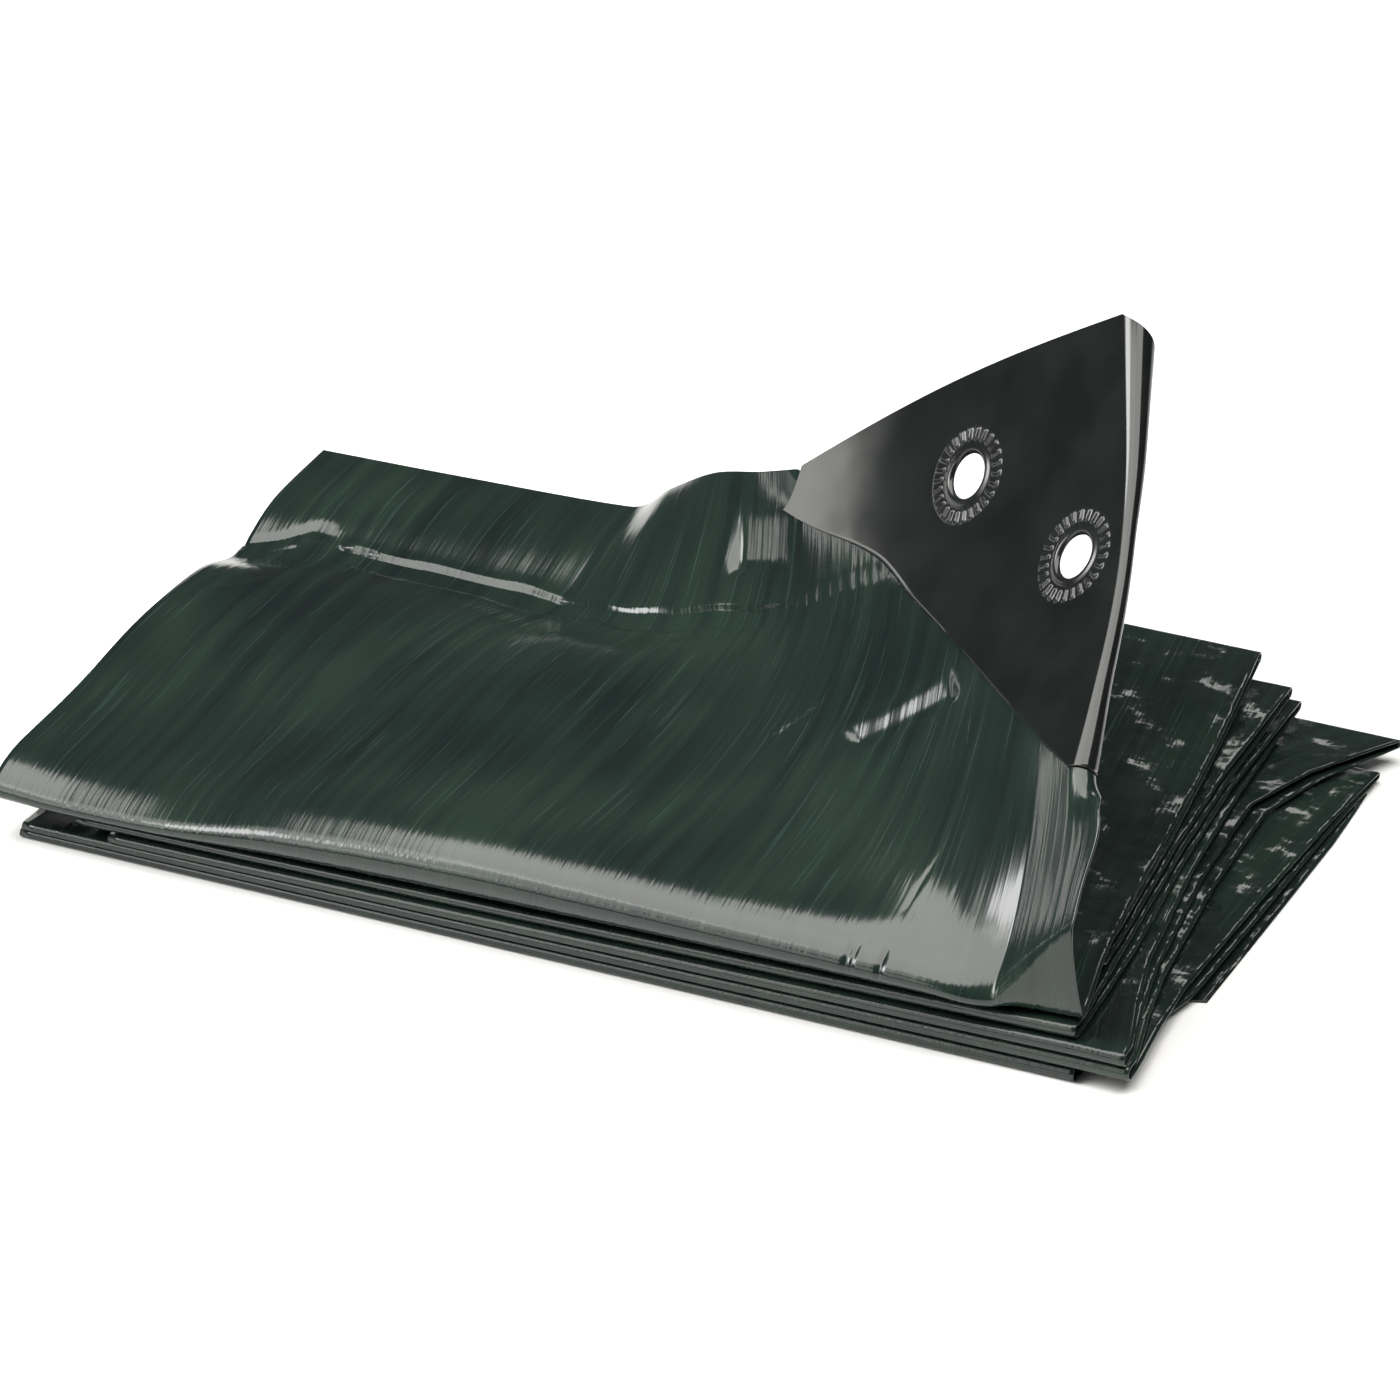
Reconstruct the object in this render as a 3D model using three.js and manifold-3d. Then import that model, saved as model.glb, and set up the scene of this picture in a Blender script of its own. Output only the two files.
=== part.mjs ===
// A folded poly tarp: glossy green film folded back and forth into a flat bundle, with the top panel's
// back right corner standing up and a black corner patch with two toothed eyelets on that corner.
// Millimetres. x runs along the front folds, y to the back, z up. The tables measure x from the right end
// of the front folds (so most are negative), y from the front edge and z from the surface below.
import * as THREE from "three";
import Module from "manifold-3d";
import { mergeVertices } from "three/addons/utils/BufferGeometryUtils.js";

const wasm = await Module();
wasm.setup();

// Driving dimensions
const FILM = 1.0; // thickness of one modelled ply
const PLY_PITCH = 1.22; // closest spacing of two plies
const PANEL_DEPTH = 190; // top panel from its front crest to its back hem
const KINK = { x: -29, y: 0, z: 25.4 }; // where the front crest turns up to the lifted corner
const CREST_END = { x: -9.3, y: -0.3, z: 45.3 }; // right end of the front crest
const RIGHT_EDGE = 23; // right hem, measured along the film from the kink
const ROLL_START = 14; // where the right hem starts to roll back
const ROLL_LOWER = 33; // the roll grows between these two distances behind the crest
const ROLL_UPPER = 57;
const CORNER = { x: -53.5, y: 136.1, z: 143.5 }; // top of the lifted corner, where the roll starts
const HEM_BEARING = -79.2; // the lifted back hem leaves the corner to the left and down
const HEM_CLIMB = -36.6;
const HEM_BOW = 3.7; // how far that hem arches above a straight line
const PATCH_LEFT = -113; // left end of the corner patch, along the film from the kink
const PATCH_END = { seam: -119, hem: -111 }; // its slanting left end, at the seam and at the back hem
const PATCH_SLANT = 1.05; // drop of its top edge round the rolled hem, for each mm along the film
const LAP = 14; // film running on under the patch
const PATCH_LIFT = FILM + 0.45; // patch over film, middle to middle
const FACE_BULGE = 5.5; // front face of the big top fold, ahead of its crest
const FACE_BULGE_RIGHT = 3;
const BEND_STEPS = 4;
const FACE_STEPS = 7;
const EYELET = {
  hole: 6.2, barrel: 7, patchHole: 7.3, collar: 9.2, teethFrom: 10, teethTo: 13.2, rim: 13.6, back: 11,
  count: 26, tooth: 0.5, teethLift: 0.6, rimLift: 0.4, flange: 0.75, lip: 0.7, gap: 0.3,
};
const ORIGIN = { x: -150, y: 93 }; // middle of the underside

// The plies from the bottom up. Left and right ends at the front, right ends 45 and 137 mm in, both ends
// at the back, and how near to the front and how far to the back each ply reaches.
const PLIES = [
  { left: -308, right: -7, right45: 9, right137: 9.4, farRight: 8, farLeft: -304, near: -4, far: 165 },
  { left: -308, right: -7, right45: 6, right137: 7, farRight: 8.5, farLeft: -305, near: -4, far: 173 },
  { left: -307, right: 8, right45: 4, right137: 6, farRight: 8.5, farLeft: -305, near: -4.5, far: 173 },
  { left: -307, right: 8, right45: -2, right137: -10, farRight: 9.5, farLeft: -307, near: -4.5, far: 186 },
  { left: -281, right: 7, right45: -4, right137: -14, farRight: 9.5, farLeft: -307, near: -5, far: 186 },
  { left: -281, right: 7, right45: -6, right137: -18, farRight: -20, farLeft: -304, near: -5, far: 188 },
  { left: -291, right: -7, right45: -10, right137: -20, farRight: -20, farLeft: -304, near: -3.5, far: 188 },
  { left: -291, right: -7, right45: -12, right137: -21, farRight: -22, farLeft: -300, near: -3.5, far: 186 },
  { left: -297, right: -10, right45: -13, right137: -22, farRight: -22, farLeft: -300, near: 27, far: 186 },
  { left: -297, right: -10, right45: -14, right137: -26, farRight: -33, farLeft: -306, near: 27, far: 191 },
  { left: -314, right: -6, right45: -14, right137: -26, farRight: -33, farLeft: -306, near: -1, far: 191 },
];
const STATIONS = [24, 45, 95, 137, 160]; // depths at which a ply has a row of points
const BOTTOM_STATIONS = [24, 43, 47, 95, 137, 155];

// How much the pile stands looser than its closest spacing, at its top, from front to back.
const LOOSE = [
  { y: -5, left: 0, right: 8.5 },
  { y: 45, left: 0.5, right: 8 },
  { y: 100, left: 1, right: 6 },
  { y: 140, left: 1.2, right: 6 },
  { y: 165, left: 4.5, right: 7.5 },
  { y: 190, left: 8.6, right: 9.2 },
];
const LOOSE_LEFT = -308;
const LOOSE_RIGHT = -8;

// Crest of the big front fold, along the film from the kink.
const CREST = [
  { along: -285, z: 20 },
  { along: -262, z: 18.8 },
  { along: -240, z: 19.2 },
  { along: -198, z: 24.5 },
  { along: -140, z: 27.5 },
  { along: -39, z: 26.6 },
  { along: 0, z: KINK.z },
];

// Back hem of the top panel up to the patch, along the film from the kink.
const HEM = [
  { along: -285, x: -314, y: 188, z: 23.4 },
  { along: -240, x: -269, y: 188, z: 24.4 },
  { along: -197, x: -218.8, y: 187, z: 26.8 },
  { along: -176, x: -202.9, y: 180.4, z: 39.1 },
  { along: -152, x: -185.6, y: 172.1, z: 51.7 },
  { along: -133, x: -168.4, y: 163.5, z: 59.8 },
  { along: PATCH_LEFT, x: -153.7, y: 155.2, z: 67.8 },
];

// The way the film heads towards the back on the lifted corner: bearing from +y and climb, in degrees.
const LIFT = [
  { back: 30, bearing: -1.6, climb: 31.2 },
  { back: 62, bearing: -5.6, climb: 31.2 },
  { back: 95, bearing: -9.1, climb: 32.5 },
  { back: 131, bearing: -17.7, climb: 34.8 },
  { back: 164, bearing: -24.3, climb: 38.6 },
  { back: PANEL_DEPTH, bearing: -24.5, climb: 43.1 },
];
const LIFT_FROM = -197; // the film is flat to the left of this and fully lifted from the patch on
const EDGE_FROM = -25; // right of this the film turns towards the way it has at the right hem
const EDGE_WAY = { bearing: -21, climb: 33 };

// Radius of the rolled hem up the lifted corner, and how far round it is rolled, in radians.
const ROLL = [
  { back: 57, radius: 3.7 },
  { back: 90, radius: 1.9 },
  { back: 125, radius: 1.5 },
  { back: 150, radius: 2.4 },
  { back: PANEL_DEPTH, radius: 4.4 },
];
const ROLL_TURN = 2.6;
const FLARE = { back: 31, width: 14, reach: 0.4 }; // the right hem flares out by this share below its roll

// Slanting seam of the patch, along the film from the kink and behind the crest.
const SEAM = [
  { along: PATCH_END.seam, back: 180.5 },
  { along: -108, back: 171.5 },
  { along: -80, back: 150.8 },
  { along: -66, back: 134 },
  { along: -27, back: 94.1 },
  { along: -3, back: 72.8 },
  { along: ROLL_START, back: 59 },
];

// The way the film leaves the front crest: bearing from +y and climb, in degrees.
const START = [
  { along: -90, bearing: 0, climb: 0 },
  { along: -50, bearing: 0, climb: 3 },
  { along: -20, bearing: 0, climb: 16 },
  { along: 0, bearing: -3, climb: 33 },
  { along: RIGHT_EDGE, bearing: -8, climb: 37 },
];

// Hump and cross crease of the top panel: height, depth and width of each, and where the crease lies.
const HUMP = { back: 76, width: 34 };
const RELIEF = [
  { along: -285, hump: 3.2, crease: 6.2, creaseBack: 136, creaseWidth: 15 },
  { along: -250, hump: 2.8, crease: 4.4, creaseBack: 142, creaseWidth: 15 },
  { along: -225, hump: 2.5, crease: 5.8, creaseBack: 142, creaseWidth: 18 },
  { along: -197, hump: 2, crease: 8.4, creaseBack: 142, creaseWidth: 23 },
  { along: -170, hump: 1.6, crease: 12.2, creaseBack: 142, creaseWidth: 28 },
  { along: -157, hump: 1.2, crease: 11, creaseBack: 142, creaseWidth: 26 },
  { along: -140, hump: 0.8, crease: 6, creaseBack: 140, creaseWidth: 20 },
  { along: -120, hump: 0.5, crease: 3.2, creaseBack: 140, creaseWidth: 16 },
  { along: -95, hump: 0.2, crease: 1.2, creaseBack: 142, creaseWidth: 15 },
  { along: RIGHT_EDGE, hump: 0, crease: 0, creaseBack: 142, creaseWidth: 15 },
];

// Columns of points along the film from the kink, and rows as shares of the way from crest to seam.
const COLUMNS = [
  -285, -240, -197, -172, -149, -130, PATCH_LEFT, -105, -95, -86, -77, -60, -43, -28, -14, 0, 7,
  ROLL_START, 16.2, 18.4, 20.6, RIGHT_EDGE,
];
const PANEL_ROWS = [
  0.03, 0.1, 0.2, 0.3, 0.4, 0.5, 0.6, 0.67, 0.71, 0.74, 0.765, 0.79, 0.82, 0.86, 0.93, 1,
];
const PATCH_ROWS = 9;

const EYELETS = [
  { name: "eyelet_upper", along: ROLL_START - 59.7, back: PANEL_DEPTH - 28.4 },
  { name: "eyelet_lower", along: ROLL_START - 16.8, back: PANEL_DEPTH - 64.4 },
];

const vec = (p) => new THREE.Vector3(p.x, p.y, p.z);
const mix = (a, b, t) => a + (b - a) * t;
const clamp = THREE.MathUtils.clamp;
const ease = (t) => THREE.MathUtils.smoothstep(t, 0, 1);
const bell = (t, middle, width) => Math.exp(-(((t - middle) / width) ** 2));

// Smooth value of one column of a table, with no overshoot between its rows.
function between(rows, key, column, where) {
  const at = clamp(where, rows[0][key], rows.at(-1)[key]);
  const i = clamp(rows.findIndex((row) => row[key] >= at) - 1, 0, rows.length - 2);
  const step = (j) => (rows[j + 1][column] - rows[j][column]) / (rows[j + 1][key] - rows[j][key]);
  const slope = (j) => {
    if (j === 0) return step(0);
    if (j === rows.length - 1) return step(j - 1);
    const [before, after] = [step(j - 1), step(j)];
    return before * after > 0 ? (2 * before * after) / (before + after) : 0;
  };
  const width = rows[i + 1][key] - rows[i][key];
  const t = (at - rows[i][key]) / width;
  const [a, b] = [rows[i][column], rows[i + 1][column]];
  const t2 = t * t;
  const t3 = t2 * t;
  return (
    (2 * t3 - 3 * t2 + 1) * a + (t3 - 2 * t2 + t) * width * slope(i) +
    (3 * t2 - 2 * t3) * b + (t3 - t2) * width * slope(i + 1)
  );
}

// Unit direction with a bearing from +y towards +x and a climb, both in degrees.
function heading(bearing, climb) {
  const [b, c] = [THREE.MathUtils.degToRad(bearing), THREE.MathUtils.degToRad(climb)];
  return new THREE.Vector3(Math.sin(b) * Math.cos(c), Math.cos(b) * Math.cos(c), Math.sin(c));
}

const liftDirection = (back) =>
  heading(between(LIFT, "back", "bearing", back), between(LIFT, "back", "climb", back));

// Way from the back hem down the lifted corner to a distance behind the crest.
function liftDrop(back) {
  const steps = 24;
  const width = (PANEL_DEPTH - back) / steps;
  const sum = new THREE.Vector3();
  for (let i = 0; i < steps; i++) sum.addScaledVector(liftDirection(back + width * (i + 0.5)), -width);
  return sum;
}

// Point of the back hem: from the table on the left, on an arched line from the corner under the patch.
function hemPoint(along) {
  if (along < PATCH_LEFT) {
    return new THREE.Vector3(
      between(HEM, "along", "x", along),
      between(HEM, "along", "y", along),
      between(HEM, "along", "z", along),
    );
  }
  const point = vec(CORNER).addScaledVector(heading(HEM_BEARING, HEM_CLIMB), ROLL_START - along);
  const share = clamp((ROLL_START - along) / (ROLL_START - PATCH_LEFT), 0, 1);
  point.z += HEM_BOW * Math.sin(Math.PI * share);
  return point;
}

// Point of the front crest.
function crestPoint(along) {
  if (along > 0) return vec(KINK).lerp(vec(CREST_END), along / RIGHT_EDGE);
  return new THREE.Vector3(KINK.x + along, KINK.y, between(CREST, "along", "z", along));
}

const seamBack = (along) => between(SEAM, "along", "back", along);

// The top panel without its rolled hem: each line from front to back runs as a cubic from the crest to the
// patch's seam and follows the lifted corner from there.
function openPanel(along, back) {
  const lifted = ease((along - LIFT_FROM) / (PATCH_LEFT - LIFT_FROM));
  const towardsEdge = ease((along - EDGE_FROM) / (ROLL_START - EDGE_FROM));
  const seam = seamBack(along);
  const hem = hemPoint(along);
  const seamWay = new THREE.Vector3(0, 1, 0).lerp(liftDirection(seam), lifted).normalize();
  if (back > seam) {
    if (along < PATCH_LEFT) return hem.addScaledVector(seamWay, back - PANEL_DEPTH);
    return hem.add(liftDrop(back));
  }
  const start = crestPoint(along);
  const end =
    along < PATCH_LEFT ? hem.addScaledVector(seamWay, seam - PANEL_DEPTH) : hem.add(liftDrop(seam));
  const startWay = heading(
    between(START, "along", "bearing", along),
    between(START, "along", "climb", along),
  );
  const edgeWay = heading(EDGE_WAY.bearing, EDGE_WAY.climb);
  const endWay = seamWay.lerp(edgeWay, towardsEdge).normalize();
  const reach = start.distanceTo(end);
  const t = clamp(back / seam, 0, 1);
  const t2 = t * t;
  const t3 = t2 * t;
  const point = start
    .multiplyScalar(2 * t3 - 3 * t2 + 1)
    .addScaledVector(startWay, reach * (t3 - 2 * t2 + t))
    .addScaledVector(end, 3 * t2 - 2 * t3)
    .addScaledVector(endWay, reach * (t3 - t2));
  const relief = (column) => between(RELIEF, "along", column, along);
  const hump = relief("hump") * bell(back, HUMP.back, HUMP.width);
  const crease = relief("crease") * bell(back, relief("creaseBack"), relief("creaseWidth"));
  point.z += hump - crease;
  return point;
}

// Across and outward directions of the panel at a point.
function panelFrame(along, back) {
  const d = 0.5;
  const across = openPanel(along + d, back).sub(openPanel(along - d, back)).normalize();
  const inward = openPanel(along, Math.min(back + d, PANEL_DEPTH)).sub(openPanel(along, back - d));
  const outward = across.clone().cross(inward).normalize();
  return { across, outward };
}

// The top panel with its right hem rolled back, lifted off its middle surface by a distance.
function panelPoint(along, back, lift = 0) {
  const start = Math.min(along, ROLL_START);
  const point = openPanel(start, back);
  const { across, outward } = panelFrame(start, Math.max(back, 1));
  const over = (along - start) * (1 + FLARE.reach * bell(back, FLARE.back, FLARE.width));
  const tightness = ease((back - ROLL_LOWER) / (ROLL_UPPER - ROLL_LOWER));
  const turn = (ROLL_TURN * over) / (RIGHT_EDGE - ROLL_START);
  const angle = tightness * turn;
  const arc = tightness * mix(over, turn * between(ROLL, "back", "radius", back), tightness);
  if (over > 0 && tightness < 1) point.lerp(openPanel(start + over, back), 1 - tightness);
  if (angle > 0) {
    point.addScaledVector(across, (arc * Math.sin(angle)) / angle);
    point.addScaledVector(outward, (-arc * (1 - Math.cos(angle))) / angle);
  }
  const normal = outward.multiplyScalar(Math.cos(angle)).addScaledVector(across, Math.sin(angle));
  return point.addScaledVector(normal, lift);
}

// Height of the middle of one ply in the pile.
function plyHeight(index, x, y) {
  const side = clamp((x - LOOSE_LEFT) / (LOOSE_RIGHT - LOOSE_LEFT), 0, 1) ** 1.3;
  const loose = mix(between(LOOSE, "y", "left", y), between(LOOSE, "y", "right", y), side);
  const top = PLIES.length - 1;
  const level = index === top ? mix(index - 2, index, ease(y / STATIONS[0])) : index;
  const spread = mix(1, 2, ease((y - 60) / 110)); // the pile opens at its top towards the back
  return FILM / 2 + PLY_PITCH * level + loose * (level / top) ** spread;
}

// Point of one ply, by its share from left to right and its depth.
function plyPoint(index, share, y) {
  const ply = PLIES[index];
  const inside = [
    { y: 0, right: ply.right },
    { y: 45, right: ply.right45 },
    { y: 137, right: ply.right137 },
    { y: ply.far, right: ply.farRight },
  ];
  const flap = [
    { y: 0, right: ply.right },
    { y: 43, right: ply.right + 4 },
    { y: 47, right: ply.right45 },
    { y: 137, right: ply.right137 },
    { y: ply.far, right: ply.farRight },
  ];
  const right = between(index === 0 ? flap : inside, "y", "right", y);
  const left = mix(ply.left, ply.farLeft, clamp(y / ply.far, 0, 1));
  const x = mix(left, right, share);
  return new THREE.Vector3(x, y, plyHeight(index, x, y));
}

const shares = COLUMNS.map((along) => (along - COLUMNS[0]) / (RIGHT_EDGE - COLUMNS[0]));

// Rows of points round the bend that joins a ply to the one above it, at its front or back end.
function bendRows(index, atFront) {
  const edge = atFront ? PLIES[index].near : PLIES[index].far;
  const outward = atFront ? -1 : 1;
  const columns = shares.map((share) => {
    const lower = plyPoint(index, share, edge);
    const upper = plyPoint(index + 1, share, edge);
    const radius = (upper.z - lower.z) / 2;
    const bend = new THREE.EllipseCurve(0, 0, radius, radius, -Math.PI / 2, Math.PI / 2);
    return bend.getPoints(BEND_STEPS).map((p, i) => {
      const x = mix(lower.x, upper.x, i / BEND_STEPS);
      return new THREE.Vector3(x, edge + outward * (p.x - radius), lower.z + radius + p.y);
    });
  });
  return columns[0].map((_, row) => columns.map((column) => column[row]));
}

// Rows of the big front fold's face, from the top ply's front edge up to the crest.
function faceRows() {
  const top = PLIES.length - 1;
  const rows = [];
  for (let i = 0; i <= FACE_STEPS; i++) {
    const t = i / FACE_STEPS;
    rows.push(
      COLUMNS.map((along, column) => {
        const foot = plyPoint(top, shares[column], 0);
        const crest = crestPoint(along);
        const flat = ease(along / RIGHT_EDGE); // right of the kink the face is a flat facet
        const rise = mix((1 - Math.cos(Math.PI * t)) / 2, t, flat);
        const bulge = mix(FACE_BULGE, FACE_BULGE_RIGHT, flat) * Math.sin(Math.PI * t);
        return foot.lerp(crest, rise).add(new THREE.Vector3(0, -bulge, 0));
      }),
    );
  }
  return rows;
}

// All rows of the film, from the free end of the bottom ply to the back hem of the top panel.
function filmRows() {
  const rows = [shares.map((share) => plyPoint(0, share, PLIES[0].far))];
  PLIES.forEach((ply, index) => {
    const towardsFront = index % 2 === 0;
    const depths = (index === 0 ? BOTTOM_STATIONS : STATIONS).filter((y) => y > ply.near + 6);
    if (towardsFront) depths.reverse();
    depths.forEach((y) => rows.push(shares.map((share) => plyPoint(index, share, y))));
    if (index < PLIES.length - 1) rows.push(...bendRows(index, towardsFront));
  });
  rows.push(...faceRows());
  PANEL_ROWS.forEach((t) => rows.push(COLUMNS.map((along) => panelPoint(along, seamBack(along) * t))));
  const lapBack = (along) => Math.min(PANEL_DEPTH, seamBack(along) + LAP);
  rows.push(COLUMNS.map((along) => panelPoint(along, lapBack(along))));
  return rows;
}

// Closed solid from rows of points on a middle surface: the surface pushed out to both sides and walled in.
function sheetGeometry(rows, thickness) {
  const [high, wide] = [rows.length, rows[0].length];
  const positions = [];
  [1, -1].forEach((side) => {
    rows.forEach((row, i) => {
      row.forEach((point, j) => {
        const across = row[Math.min(j + 1, wide - 1)].clone().sub(row[Math.max(j - 1, 0)]);
        const onward = rows[Math.min(i + 1, high - 1)][j].clone().sub(rows[Math.max(i - 1, 0)][j]);
        const normal = across.cross(onward).normalize();
        positions.push(...point.clone().addScaledVector(normal, (side * thickness) / 2).toArray());
      });
    });
  });
  const index = [];
  const at = (side, i, j) => side * high * wide + i * wide + j;
  const quad = (a, b, c, d) => index.push(a, b, c, a, c, d);
  for (let i = 0; i < high - 1; i++) {
    for (let j = 0; j < wide - 1; j++) {
      quad(at(0, i, j), at(0, i, j + 1), at(0, i + 1, j + 1), at(0, i + 1, j));
      quad(at(1, i, j), at(1, i + 1, j), at(1, i + 1, j + 1), at(1, i, j + 1));
    }
    quad(at(0, i, 0), at(0, i + 1, 0), at(1, i + 1, 0), at(1, i, 0));
    quad(at(0, i + 1, wide - 1), at(0, i, wide - 1), at(1, i, wide - 1), at(1, i + 1, wide - 1));
  }
  for (let j = 0; j < wide - 1; j++) {
    quad(at(0, 0, j + 1), at(0, 0, j), at(1, 0, j), at(1, 0, j + 1));
    quad(at(0, high - 1, j), at(0, high - 1, j + 1), at(1, high - 1, j + 1), at(1, high - 1, j));
  }
  return geometryOf(positions, index);
}

function geometryOf(positions, index) {
  const geometry = new THREE.BufferGeometry();
  geometry.setAttribute("position", new THREE.Float32BufferAttribute(positions, 3));
  geometry.setIndex(index);
  return geometry;
}

function solidOf(geometry) {
  const merged = mergeVertices(geometry, 1e-4);
  return new wasm.Manifold(
    new wasm.Mesh({
      numProp: 3,
      vertProperties: new Float32Array(merged.attributes.position.array),
      triVerts: new Uint32Array(merged.index.array),
    }),
  );
}

function geometryFrom(solid) {
  const mesh = solid.getMesh();
  return geometryOf(Array.from(mesh.vertProperties), Array.from(mesh.triVerts));
}

// Ring on the panel round a centre: each profile point has a radius and a lift off the panel.
function ringGeometry(eyelet, profile, steps, liftOf) {
  const positions = [];
  for (let i = 0; i < steps; i++) {
    const angle = (i / steps) * 2 * Math.PI;
    profile.forEach((p) => {
      const along = eyelet.along + p.radius * Math.cos(angle);
      const back = eyelet.back + p.radius * Math.sin(angle);
      positions.push(...panelPoint(along, back, liftOf(p, i)).toArray());
    });
  }
  const index = [];
  const count = profile.length;
  for (let i = 0; i < steps; i++) {
    const next = (i + 1) % steps;
    for (let j = 0; j < count; j++) {
      const k = (j + 1) % count;
      const [a, b, c, d] = [i * count + j, i * count + k, next * count + k, next * count + j];
      index.push(a, c, b, a, d, c);
    }
  }
  return geometryOf(positions, index);
}

// A pressed eyelet: barrel through the patch, smooth collar, ring of radial teeth, smaller flange behind.
function eyeletGeometry(eyelet) {
  const front = PATCH_LIFT + FILM / 2 + EYELET.gap;
  const rear = PATCH_LIFT - FILM / 2 - EYELET.gap;
  const profile = [
    { radius: EYELET.hole, lift: rear - EYELET.flange + EYELET.lip },
    { radius: EYELET.hole + EYELET.lip, lift: rear - EYELET.flange },
    { radius: EYELET.back, lift: rear - EYELET.flange },
    { radius: EYELET.back, lift: rear },
    { radius: EYELET.barrel, lift: rear },
    { radius: EYELET.barrel, lift: front },
    { radius: EYELET.rim, lift: front },
    { radius: EYELET.teethTo, lift: front + EYELET.rimLift, tooth: EYELET.tooth },
    { radius: EYELET.teethFrom, lift: front + EYELET.teethLift, tooth: EYELET.tooth },
    { radius: EYELET.collar, lift: front + EYELET.flange },
    { radius: EYELET.hole + EYELET.lip, lift: front + EYELET.flange },
    { radius: EYELET.hole, lift: front + EYELET.flange - EYELET.lip },
  ];
  const raised = (p, i) => p.lift + (p.tooth && i % 2 ? p.tooth : 0);
  return ringGeometry(eyelet, profile, EYELET.count * 2, raised);
}

// Plug that cuts one eyelet's hole through the patch.
function holePlug(eyelet) {
  const [low, high, steps] = [PATCH_LIFT - 2, PATCH_LIFT + 2, 24];
  const positions = [];
  [low, high].forEach((lift) => {
    positions.push(...panelPoint(eyelet.along, eyelet.back, lift).toArray());
    for (let i = 0; i < steps; i++) {
      const angle = (i / steps) * 2 * Math.PI;
      const along = eyelet.along + EYELET.patchHole * Math.cos(angle);
      const back = eyelet.back + EYELET.patchHole * Math.sin(angle);
      positions.push(...panelPoint(along, back, lift).toArray());
    }
  });
  const index = [];
  const upper = steps + 1;
  for (let i = 0; i < steps; i++) {
    const [a, b] = [1 + i, 1 + ((i + 1) % steps)];
    index.push(0, b, a, upper, upper + a, upper + b);
    index.push(a, b, upper + b, a, upper + b, upper + a);
  }
  return solidOf(geometryOf(positions, index));
}

// The black corner patch: from its slanting seam to the back hem, rolled round the right hem with the film.
function patchSolid() {
  const columns = [
    ...[-105, -95, -86, -77, -68, -60, -51, -43, -35, -28, -21, -14, -7, 0, 7],
    ...[ROLL_START, 16.2, 18.4, 20.6, RIGHT_EDGE],
  ];
  const topBack = (along) => PANEL_DEPTH - PATCH_SLANT * Math.max(0, along - ROLL_START);
  const rows = [];
  for (let i = 0; i <= PATCH_ROWS; i++) {
    const t = i / PATCH_ROWS;
    const leftEnd = mix(PATCH_END.seam, PATCH_END.hem, t);
    rows.push(
      [leftEnd, ...columns].map((along) =>
        panelPoint(along, mix(seamBack(along), topBack(along), t), PATCH_LIFT),
      ),
    );
  }
  let solid = solidOf(sheetGeometry(rows, FILM));
  EYELETS.forEach((eyelet) => {
    solid = solid.subtract(holePlug(eyelet));
  });
  return solid;
}

const greenFilm = new THREE.MeshStandardMaterial({ color: 0x16241f, roughness: 0.28, metalness: 0 });
const blackFilm = new THREE.MeshStandardMaterial({ color: 0x17191b, roughness: 0.25, metalness: 0 });
const blackPlastic = new THREE.MeshStandardMaterial({ color: 0x141617, roughness: 0.35, metalness: 0 });

function piece(name, geometry, material) {
  const mesh = new THREE.Mesh(geometry, material);
  mesh.name = name;
  return mesh;
}

const bundle = new THREE.Group();
bundle.add(piece("tarp_sheet", sheetGeometry(filmRows(), FILM), greenFilm));
bundle.add(piece("corner_patch", geometryFrom(patchSolid()), blackFilm));
EYELETS.forEach((eyelet) => bundle.add(piece(eyelet.name, eyeletGeometry(eyelet), blackPlastic)));
bundle.position.set(-ORIGIN.x, -ORIGIN.y, 0);

const root = new THREE.Group();
root.add(bundle);
export default root;
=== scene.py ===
"""The looks of a folded poly tarp: thin glossy green film, a black corner patch and two pressed eyelets.

Sizes are millimetres until a mesh is made. The film has two coordinates: along runs with the front folds
and is counted from the kink of the front crest, back runs from the front crest to the back hem. Lights and
the camera are placed in metres.
"""
import math

import bpy
import numpy as np
from mathutils import Matrix, Vector


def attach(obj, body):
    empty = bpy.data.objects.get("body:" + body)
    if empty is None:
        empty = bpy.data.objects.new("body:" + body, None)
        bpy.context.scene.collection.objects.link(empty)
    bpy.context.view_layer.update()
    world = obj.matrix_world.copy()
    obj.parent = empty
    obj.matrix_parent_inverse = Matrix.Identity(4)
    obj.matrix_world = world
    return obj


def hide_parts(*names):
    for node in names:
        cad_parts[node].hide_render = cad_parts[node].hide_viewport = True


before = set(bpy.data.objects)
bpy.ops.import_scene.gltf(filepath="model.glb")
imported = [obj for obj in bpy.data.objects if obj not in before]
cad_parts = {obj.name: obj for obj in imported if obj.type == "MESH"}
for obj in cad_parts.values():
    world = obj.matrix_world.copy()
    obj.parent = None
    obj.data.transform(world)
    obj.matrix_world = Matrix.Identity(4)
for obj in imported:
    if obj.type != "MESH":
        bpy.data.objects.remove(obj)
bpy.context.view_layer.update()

MM = 0.001
UV_SPAN = 100.0  # millimetres of film for one unit of its texture coordinates
BUNDLE = np.array([150.0, -93.0, 0.0])  # right end of the front folds, on the surface

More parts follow.
